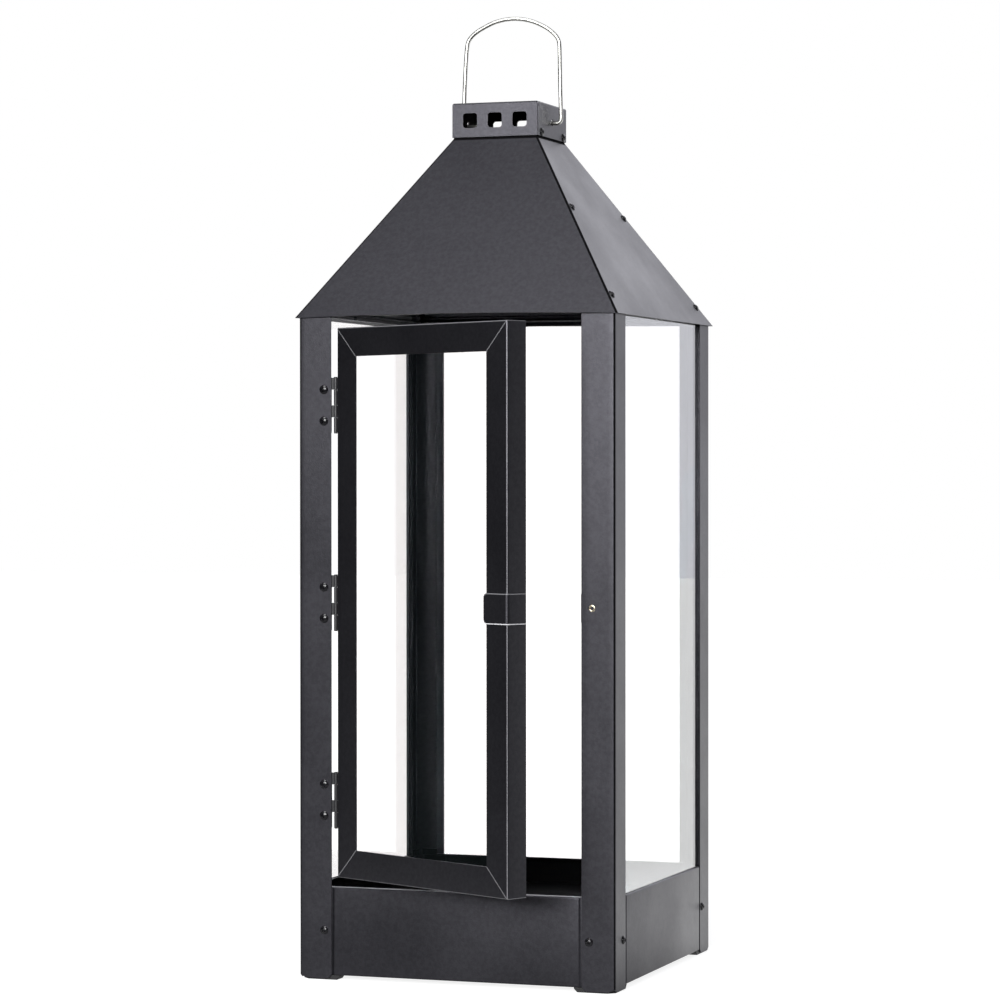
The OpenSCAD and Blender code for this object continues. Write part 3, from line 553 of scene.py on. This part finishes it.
door = {
    # its closed place
    "left": -0.0901,
    "right": 0.091,
    "bottom": 0.0745,
    "top": 0.4717,
    "face": 0.021,  # width of the frame, seen from the front
    "depth": 0.0178,
    "sheet": 0.001,
    "bend": 0.0015,
    "mitreGap": 0.00008,  # from a member's end to the corner's halving line
    "mitreEdge": 0.0004,  # width of the ground edge along it
    "glass": 0.003,
    "glassPlay": 0.0005,
    # the hinges' axis, and how far the door stands open
    "axisX": -0.0915,
    "axisY": -0.1198,
    "open": 28.0,  # degrees
}


def memberShape(s, length):
    # an angle section, [distance from the frame's edge, depth], whose points start and end on the mitre;
    # the first and last bands are the mitre's edges
    bend = s["bend"]
    line = np.vstack(([[s["face"], 0]], arc((bend, bend), bend, 270, 180, 9), [[0, s["depth"]]]))
    outline = sheetOutline(line, s["sheet"])
    inset = outline[:, 0] + s["mitreGap"]
    edge = inset + s["mitreEdge"]
    return banded(outline, np.array([inset, edge, length - edge, length - inset]))


def axes(xAxis, yAxis, zAxis, origin):
    # columns are where the three axes of a shape go
    return Matrix([(xAxis[i], yAxis[i], zAxis[i], origin[i]) for i in range(3)] + [(0, 0, 0, 1)])


width, height, front = door["right"] - door["left"], door["top"] - door["bottom"], -post["half"]
right, up = (1, 0, 0), (0, 0, 1)
for nodeName, length, inward, along, corner in (
    ("door_rail_bottom", width, up, right, ("left", "bottom")),
    ("door_rail_top", width, (0, 0, -1), right, ("left", "top")),
    ("door_stile_hinge", height, right, up, ("left", "bottom")),
    ("door_stile_latch", height, (-1, 0, 0), up, ("right", "bottom")),
):
    shape = memberShape(door, length)
    place = axes(inward, (0, 1, 0), along, (door[corner[0]], front, door[corner[1]]))
    member = addPiece(pieceName(nodeName), [moved(shape, swungOpen() @ place)], nodeName)
    count = (len(shape[1]) - 2) // 3  # faces in a band
    coatFaces(member, "edge", range(count + 4, count + 6))  # the middle of the bend, in the edge coat: a painted highlight
    # the mitre bands at both ends also get the edge coat: painted highlights along the mitres
    for first in (0, 2 * count):
        coatFaces(member, "edge", range(first, first + 10))
play = door["sheet"] + door["glassPlay"]
low, high = (door["left"] + play, door["bottom"] + play), (door["right"] - play, door["top"] - play)
flat = paneShape(low, high, door["glass"], pane)
place = swungOpen() @ Matrix.Translation((0, front + door["sheet"], 0))
addPiece("doorPane", [moved(flat, place)], "door_pane", sharp=20)

latch = {
    "wing": 0.023,  # from the door's edge, across the stile
    "depth": 0.0168,
    "bend": 0.0015,  # inside
    "sheet": 0.001,
    "corner": 0.003,
    "middle": 0.2735,
    "height": 0.0214,
    "edge": 0.0007,  # width of the bands along the cut edges that carry a painted highlight
}


def latchShape(s):
    # a plate folded round the stile's edge, lower along the arcs of its two rounded corners;
    # the first and last bands are its edges
    bend, sheet = s["bend"], s["sheet"]
    cornerX = -s["wing"] + s["corner"] * np.array([1, 0.8, 0.6, 0.4, 0.2, 0.08, 0])
    line = np.vstack((
        [[sheet, s["depth"]]],
        arc((-bend, bend), bend + sheet, 0, -90, 7),
        np.column_stack((cornerX, np.full(7, -sheet))),
    ))
    outline = sheetOutline(line, sheet)
    short = np.maximum(0, s["corner"] - s["wing"] - outline[:, 0])
    inset = s["corner"] - np.sqrt(np.maximum(0, s["corner"] ** 2 - short**2))
    low, high = s["middle"] - s["height"] / 2 + inset, s["middle"] + s["height"] / 2 - inset
    return banded(outline, np.array([low, low + s["edge"], high - s["edge"], high]))


place = swungOpen() @ Matrix.Translation((door["right"], front, 0))
shape = latchShape(latch)
piece = addPiece("latchPlate", [moved(shape, place)], "latch_plate", finish=finishes["powder_coat"], bevel=0.0001)
count = (len(shape[1]) - 2) // 3
coatFaces(piece, "pale", range(count // 2 - 1))  # painted highlights: the outer side of the lower edge in the pale coat, then of the upper one in the edge coat
coatFaces(piece, "edge", range(2 * count, 2 * count + count // 2 - 1))
print("door framed")

handle = {
    "wire": 0.00314,  # its diameter
    "pivotZ": 0.6263,
    "elbow": 0.003,  # radius of the bends at the chimney's holes
    "innerLeft": -0.0254,  # the ends inside the chimney
    "innerRight": 0.0296,
    # centreline of the bow, [across, height] in millimetres
    "bow": [
        (-36.3, 632), (-35.95, 644), (-35.4, 659), (-34.75, 672), (-33.8, 684), (-32.8, 689),
        (-31.1, 692), (-28.2, 694.8), (-24, 697.6), (-18.4, 700.4), (-12, 703), (-4.1, 704.7),
        (3.8, 705.1), (11.7, 704.2), (19.6, 702), (27.4, 698.3), (31.3, 695.8), (35.3, 692.4),
        (38.1, 688.6), (39.1, 684.5), (39.4, 677), (39.7, 656), (40.1, 642), (40.35, 632),
    ],
}


def smoothPath(points, parts):
    # a cubic through every point, whose direction there is that of the line between its two neighbours
    p = np.vstack((2 * points[0] - points[1], points, 2 * points[-1] - points[-2]))
    t = np.linspace(0, 1, parts, endpoint=False)[None, :, None]
    a, b, c, d = (p[i : len(p) - 3 + i][:, None, :] for i in range(4))
    square, cube = 2 * a - 5 * b + 4 * c - d, 3 * b - a - 3 * c + d
    curve = 0.5 * (2 * b + (c - a) * t + square * t**2 + cube * t**3)
    return np.vstack((curve.reshape(-1, 2), points[-1:]))


def wireShape(s):
    # a circle carried along the centreline, square to it; the last rings shrink to break the ends' edges
    z, e = s["pivotZ"], s["elbow"]
    bow = smoothPath(np.array(s["bow"]) / 1000, 6)
    left, right = bow[0, 0], bow[-1, 0]
    inner = np.array([[s["innerLeft"], z], [s["innerLeft"] + 0.0003, z]])
    outer = np.array([[s["innerRight"] + 0.0003, z], [s["innerRight"], z]])
    leftElbow, rightElbow = arc((left + e, z + e), e, 270, 180, 10), arc((right - e, z + e), e, 0, -90, 10)
    line = np.vstack((inner, leftElbow, bow, rightElbow, outer))
    way = np.gradient(line, axis=0)
    way /= np.linalg.norm(way, axis=1)[:, None]
    radius = np.full(len(line), s["wire"] / 2)
    radius[[0, -1]] *= 0.8
    turn = np.linspace(0, 2 * np.pi, 24, endpoint=False)
    out, across = radius[:, None] * np.cos(turn), radius[:, None] * np.sin(turn)
    grid = np.stack((line[:, :1] + out * way[:, 1:], across, line[:, 1:] - out * way[:, :1]), axis=-1)
    return loft(grid)


addPiece("carryHandle", [wireShape(handle)], "carry_handle", sharp=60)
print("handle bent")

roof = {
    "eaveZ": 0.4792,
    "eaveRadius": 0.1226,
    "slope": 56.31,  # degrees
    "collarRadius": 0.0327,
    "collarTop": 0.621,
    "topZ": 0.61405,
    "sheet": 0.0012,  # across the sloping sheet, level
    "bow": 0.0018,  # rise of the front and rear eaves in their middle
    "bend": 0.0014,  # of the end panels round the hips
    "step": 0.0001,  # gap between a flange and the panel over it
    "seam": 0.0017,  # by which the side panels stop short of the hips
    "flange": 0.014,
    "flangeBottom": 0.4895,
    "rises": (0, 0.25, 0.5, 0.75, 0.99, 1),  # of the rows, as shares of the slope's height
}


def roofRadius(s, z):
    # half the roof's width shrinks evenly with height, down to the collar's
    return np.maximum(s["collarRadius"], s["eaveRadius"] - (z - s["eaveZ"]) / math.tan(math.radians(s["slope"])))


def roofShape(s, line, share, lowest):
    # level outlines stacked up: a point's place across is its share of the roof's half width at that height,
    # plus a fixed step; each point starts at its own lowest height, and the last row is the collar's top
    outline = sheetOutline(line + np.column_stack((share * s["eaveRadius"], 0 * share)), s["sheet"])
    share = np.concatenate((share, share[::-1]))
    outline[:, 0] -= share * s["eaveRadius"]
    lowest = np.concatenate((lowest, lowest[::-1]))
    rise = np.array(s["rises"])[:, None]
    z = np.vstack((lowest + rise * (s["topZ"] - lowest), np.full((1, len(lowest)), s["collarTop"])))
    radius = roofRadius(s, z)
    return loft(np.stack((share * radius + outline[:, 0], outline[:, 1] - radius, z), axis=-1))


def endPanel(s):
    # the outline bends round both hips and steps in under the neighbouring panels;
    # its middle rises along the eave as a parabola
    bend, step = s["bend"], s["sheet"] + s["step"]
    turn = np.radians(np.linspace(80, 0, 7))
    right = np.vstack((
        [[-step, s["flange"]], [-step, bend + 0.0012], [-0.0002, bend - 0.0001]],
        np.column_stack((bend * np.sin(turn) - bend, bend - bend * np.cos(turn))),
        [[-bend - 0.001, 0]],
    ))
    face = np.linspace(1, -1, 13)[1:-1]
    line = np.vstack((right, np.column_stack((-bend * face, 0 * face)), right[::-1] * [-1, 1]))
    share = np.concatenate((np.ones(len(right)), face, -np.ones(len(right))))
    lowest = s["eaveZ"] + s["bow"] * (1 - share**2)
    return roofShape(s, line, share, np.where(line[:, 1] > bend, s["flangeBottom"], lowest))


def sidePanel(s):
    # a flat trapezium whose sides run beside the hips
    share = np.array([1.0, 0.5, 0, -0.5, -1])
    line = np.column_stack((-s["seam"] * share, 0 * share))
    return roofShape(s, line, share, np.full(5, s["eaveZ"]))


for side, nodeName, shape in (
    (0, "roof_front", endPanel(roof)), (1, "roof_right", sidePanel(roof)),
    (2, "roof_rear", endPanel(roof)), (3, "roof_left", sidePanel(roof)),
):
    panel = addPiece(pieceName(nodeName), [moved(shape, onSide(side))], nodeName, bevel=0.0002, sharp=25)
    bands = len(roof["rises"])
    count = (len(shape[1]) - 2) // bands  # faces round the outline
    last = count // 2 - 2
    # an end panel's bends run from the third face to the ninth, and as far from its other end
    bends = [face for j in range(2, 9) for face in (j, last - j)] if side % 2 == 0 else []
    # the hip bends get the near-black seam coat: painted shadow lines along the hips
    coatFaces(panel, "seam", [band * count + face for band in range(bands) for face in bends])
    coatFaces(panel, "seam", range((bands - 2) * count, bands * count))  # the top of the slope and the collar, in the seam coat: a painted shadow line under the chimney
print("roof laid")

topRail = {
    "radius": 0.113,  # from the middle to the lip
    "bottom": 0.481,
    "top": 0.4855,
    "flangeTop": 0.4885,
    "bend": 0.0014,
    "sheet": 0.001,
    "mitreGap": 0.0001,
}


def railShape(s):
    # a lip behind the pane, a level strip outwards and a flange along the roof;
    # each point runs between the two mitres
    bend, across = s["bend"], roof["sheet"] + s["sheet"] / math.sin(math.radians(roof["slope"]))
    line = np.vstack((
        [[s["radius"], s["bottom"]]],
        arc((s["radius"] + bend, s["top"] - bend), bend, 180, 90, 7),
        [[roofRadius(roof, z) - across, z] for z in (s["top"], s["flangeTop"])],
    ))
    outline = sheetOutline(line, s["sheet"])
    inset = outline[:, 0] - s["mitreGap"]
    return carried(outline, -inset, inset)


# the front rail in the seam coat is painted shade above the door; the left rail in the edge coat is a painted
# highlight
for side, (nodeName, finish) in enumerate((
    ("top_rail_front", "seam"), ("top_rail_right", "powder_coat"),
    ("top_rail_rear", "powder_coat"), ("top_rail_left", "edge"),
)):
    place = onSide(side) @ axes((0, -1, 0), (0, 0, 1), (1, 0, 0), (0, 0, 0))
    shape = moved(railShape(topRail), place)
    piece = addPiece(pieceName(nodeName), [shape], nodeName, finish=finishes[finish], bevel=0.0002)
    if side:
        coatFaces(piece, "pale", range(1, 6))  # the fold over the pane's top edge, in the pale coat: a painted highlight
print("top rails laid")

screw = {
    "head": 0.006,
    "hingeHead": 0.0066,
    "height": 0.0017,
    "rim": 0.0005,  # height of the head's straight edge
    "shank": 0.003,
    "length": 0.006,
    "slotWidth": 0.0008,
    "slotDepth": 0.0009,
    "inset": 0.0194,  # from the body's corner
    "skirtZ": 0.036,
    "hipRises": (0.0138, 0.0798),  # above the eave
    "hipInset": 0.007,
    "chimneyPlace": (0.02515, 0.0337, 0.6178),
    "hingeMiddles": (0.1303, 0.2731, 0.4159),
    "hingeSpread": 0.01135,  # of a hinge's two screws from its middle
}


def screwShape(s, head):
    # a domed profile turned round, pressed down where a point lies within either arm of a cross;
    # the dome is the cap of a sphere over the rim
    rim, tall = s["rim"], s["height"]
    dome = ((head / 2) ** 2 + (tall - rim) ** 2) / (2 * (tall - rim))
    radius = np.linspace(0.00004, head / 2, 22)
    top = np.column_stack((radius, tall - dome + np.sqrt(dome**2 - radius**2)))
    shank = s["shank"] / 2
    lower = np.array([[head / 2, 0.0001], [head / 2 - 0.0001, 0], [shank, 0], [shank, -s["length"]]])
    grid = spun(np.vstack((top, lower)), 56)
    across = np.abs(grid[:22, :, :2])
    narrow = np.clip((s["slotWidth"] / 2 - across.min(axis=2)) / 0.00012 + 0.5, 0, 1)
    short = np.clip((head * 0.26 - across.max(axis=2)) / 0.00018, 0, 1)
    grid[:22, :, 2] -= s["slotDepth"] * narrow * short
    return loft(grid)


def facing(place, tiltX, turn):
    # a head that stands out from the place, leaned back by tiltX from straight up and turned about itself
    return Matrix.Translation(place) @ Matrix.Rotation(math.radians(tiltX), 4, "X") @ Matrix.Rotation(turn, 4, "Z")


def addScrews(s):
    corner = post["half"] - s["inset"]
    plain, wide = screwShape(s, s["head"]), screwShape(s, s["hingeHead"])
    skirtScrews, roofScrews, chimneyScrews = [], [], []
    for side in range(4):
        for end in (-1, 1):
            place = facing((end * corner, -post["half"], s["skirtZ"]), 90, side + 0.7 * end)
            skirtScrews.append(moved(plain, onSide(side) @ place))
    for side in (1, 3):
        for end in (-1, 1):
            for rise in s["hipRises"]:
                z = roof["eaveZ"] + rise
                radius = roofRadius(roof, z)
                turn = side * 1.3 + end + 40 * rise
                place = facing((end * (radius - s["hipInset"]), -radius, z), roof["slope"], turn)
                roofScrews.append(moved(plain, onSide(side) @ place))
            x, y, z = s["chimneyPlace"]
            place = facing((end * x, -y, z), 90, side * 0.9 + end * 0.4)
            chimneyScrews.append(moved(plain, onSide(side) @ place))
    hingeScrews = [
        moved(wide, facing((-corner, -post["half"], middle + end * s["hingeSpread"]), 90, middle * 9 + end))
        for middle in s["hingeMiddles"]
        for end in (-1, 1)
    ]
    for nodeName, shapes in (
        ("skirt_screws", skirtScrews), ("roof_screws", roofScrews),
        ("chimney_screws", chimneyScrews), ("hinge_screws", hingeScrews),
    ):
        addPiece(pieceName(nodeName), shapes, nodeName, finish=finishes["screw"], sharp=50)


addScrews(screw)

rivet = {
    "place": (0.103, -0.120, 0.2714),
    # [radius, height] in millimetres, along the hole, over the rolled rim and back outside the tube
    "profile": [
        (1.1, -12.5), (1.1, -0.1), (1.2, 0.25), (1.45, 0.45), (1.8, 0.5), (2.2, 0.42), (2.5, 0.28),
        (2.65, 0.08), (2.6, 0), (1.7, 0), (1.7, -12), (2.65, -12), (2.65, -12.5), (1.1, -12.5),
    ],
}
tube = loft(spun(np.array(rivet["profile"]) / 1000, 40), capped=False)
addPiece("magnetRivet", [moved(tube, facing(rivet["place"], 90, 0))], "magnet_rivet", sharp=50)
print("screws driven")

# the other sheet, steel and plastic parts are their CAD solids with broken edges
brokenEdges = {  # width of the broken edges, in metres
    "foot_front_left": 0.0004, "foot_front_right": 0.0004, "foot_rear_left": 0.0004, "foot_rear_right": 0.0004,
    "floor_plate": 0.00045, "top_gussets": 0.0002,
    "chimney_box": 0.0004,
    "post_leaf_lower": 0.0001, "post_leaf_middle": 0.0001, "post_leaf_upper": 0.0001,
    "door_leaf_lower": 0.0001, "door_leaf_middle": 0.0001, "door_leaf_upper": 0.0001,
    "hinge_pin_lower": 0.00015, "hinge_pin_middle": 0.00015, "hinge_pin_upper": 0.00015,
    "door_leaf_rivets": 0.00015, "door_clips": 0.00015, "magnet_housing": 0.0004, "door_magnet": 0.0003,
}
# the floor plate's near-black seam coat is painted shade; the gussets get the dull inside coat
dullAndShadedNodes = {"floor_plate": "seam", "top_gussets": "inside"}
paintedEdgeNodes = ("chimney_box", "floor_plate")  # their bevels get the edge coat, a painted highlight
for nodeName, broken in brokenEdges.items():
    finish = finishes[dullAndShadedNodes[nodeName]] if nodeName in dullAndShadedNodes else None
    part = dressNode(nodeName, broken, finish=finish, paintedEdges=nodeName in paintedEdgeNodes)
    if nodeName == "chimney_box":
        # the chimney's inner faces get the near-black seam coat: painted shade inside it
        coatFaces(part, "seam", inwardFaces(part))
print("other parts finished")

studioSettings = {
    "fill": 0.42,  # what reaches the object from all around
    "rear": 0.95,  # brightness of the backdrop in reflections
    "rearHigh": 1.52,  # and higher up
    "rearRise": (0.02, 0.28),  # from and to this height of a direction it brightens
    "rearTurn": (0.3, 0.7),  # and this far round from the sides it sets in
    "side": 0.03,  # brightness of the dark screens left and right
    "above": 0.35,
    "aboveRise": (0.25, 0.85),
    "air": (0.965, 0.965, 1.03, 1),  # colour of what is mirrored
    "floorReach": 9.0,
    "paper": (0.32, 0.32, 0.32, 1),  # the floor paper
    "pastPaper": (0.03, 0.03, 0.03, 1),
    "paperHalf": 0.55,  # its half width, in metres
    "paperSoft": 0.25,
    "lift": 0.86,  # of the paper's white
    "white": 1.0,  # what the viewer sees past the paper
    "whiteThroughGlass": 1.28,
    "mirrored": 1.08,  # the floor's brightness in reflections behind the lantern; it is dark in front
    "mirroredEdge": (-0.2, 0.2),
}


def mixValue(tree, factor, first, second):
    return addNode(tree, "ShaderNodeMix", {0: factor, 2: first, 3: second}, data_type="FLOAT").outputs[0]


def rayKinds(tree, s):
    # 1 for what the viewer sees, also through glass, then its white, and 1 for reflections;
    # a matt surface in between makes both 0
    path = addNode(tree, "ShaderNodeLightPath").outputs
    direct = math2(tree, "LESS_THAN", path["Diffuse Depth"], 0.5)
    mirrored = math2(tree, "MULTIPLY", math2(tree, "GREATER_THAN", path["Glossy Depth"], 0.5), direct)
    straight = math2(tree, "MULTIPLY", math2(tree, "LESS_THAN", path["Glossy Depth"], 0.5), direct)
    through = math2(tree, "MULTIPLY", path["Is Transmission Ray"], straight)
    white = mixValue(tree, through, s["white"], s["whiteThroughGlass"])
    return math2(tree, "MAXIMUM", path["Is Camera Ray"], through), white, mirrored


def addWorld(s):
    world = bpy.data.worlds.new("studioAir")
    scene.world = world
    world.use_nodes = True
    tree = world.node_tree
    direction = addNode(tree, "ShaderNodeTexCoord").outputs["Generated"]
    way = addNode(tree, "ShaderNodeSeparateXYZ", {0: direction}).outputs
    wall = remap(tree, way["Z"], *s["rearRise"], s["rear"], s["rearHigh"])
    rear = math2(tree, "MULTIPLY", wall, remap(tree, way["Y"], *s["rearTurn"], 0, 1))
    above = remap(tree, way["Z"], *s["aboveRise"], s["side"], s["above"])
    seen, white, glossy = rayKinds(tree, s)
    strength = mixValue(tree, glossy, s["fill"], math2(tree, "MAXIMUM", rear, above))
    setInputs(tree, tree.nodes["Background"], {
        "Color": blendColors(tree, seen, s["air"], (1, 1, 1, 1)), "Strength": mixValue(tree, seen, strength, white),
    })


def addFloor(s):
    reach = s["floorReach"]
    mesh = bpy.data.meshes.new("studioFloor")
    corners = [(-reach, -reach, 0), (reach, -reach, 0), (reach, reach, 0), (-reach, reach, 0)]
    mesh.from_pydata(corners, [], [(0, 1, 2, 3)])
    floor = bpy.data.objects.new("studioFloor", mesh)
    scene.collection.objects.link(floor)
    material, tree, shader = newMaterial("floorPaper")
    seen, white, glossy = rayKinds(tree, s)
    place = objectPlace(tree)
    way = addNode(tree, "ShaderNodeSeparateXYZ", {0: place}).outputs
    away = addNode(tree, "ShaderNodeVectorMath", {0: place}, operation="LENGTH").outputs["Value"]
    paper = remap(tree, away, s["paperHalf"], s["paperHalf"] + s["paperSoft"], 1, 0)
    lift = mixValue(tree, paper, white, s["lift"])
    behind = remap(tree, way["Y"], *s["mirroredEdge"], 0.0, s["mirrored"])
    setInputs(tree, shader, {
        "Base Color": blendColors(tree, paper, s["pastPaper"], s["paper"]), "Roughness": 0.9,
        "Specular IOR Level": 0.1, "Emission Color": (1, 1, 1, 1),
        "Emission Strength": mixValue(tree, glossy, math2(tree, "MULTIPLY", seen, lift), behind),
    })
    mesh.materials.append(material)


lampSettings = {
    # place, point aimed at, width, height, power
    "roofBox": ((-0.3, -1.5, 2.3), (0, 0, 0.5), 1.1, 1.1, 21),
    "frontBox": ((0.05, -3.4, 1.30), (0, 0, 0.4), 2.2, 1.4, 160),
}


def addLamps(s):
    for name, (place, aim, width, height, power) in s.items():
        data = bpy.data.lights.new(name, "AREA")
        data.shape = "RECTANGLE"
        data.size = width
        data.size_y = height
        data.energy = power
        lamp = bpy.data.objects.new(name, data)
        scene.collection.objects.link(lamp)
        away = Vector(place) - Vector(aim)
        lamp.matrix_world = Matrix.Translation(place) @ away.to_track_quat("Z", "Y").to_matrix().to_4x4()


addWorld(studioSettings)
addFloor(studioSettings)
addLamps(lampSettings)
print("studio lit")
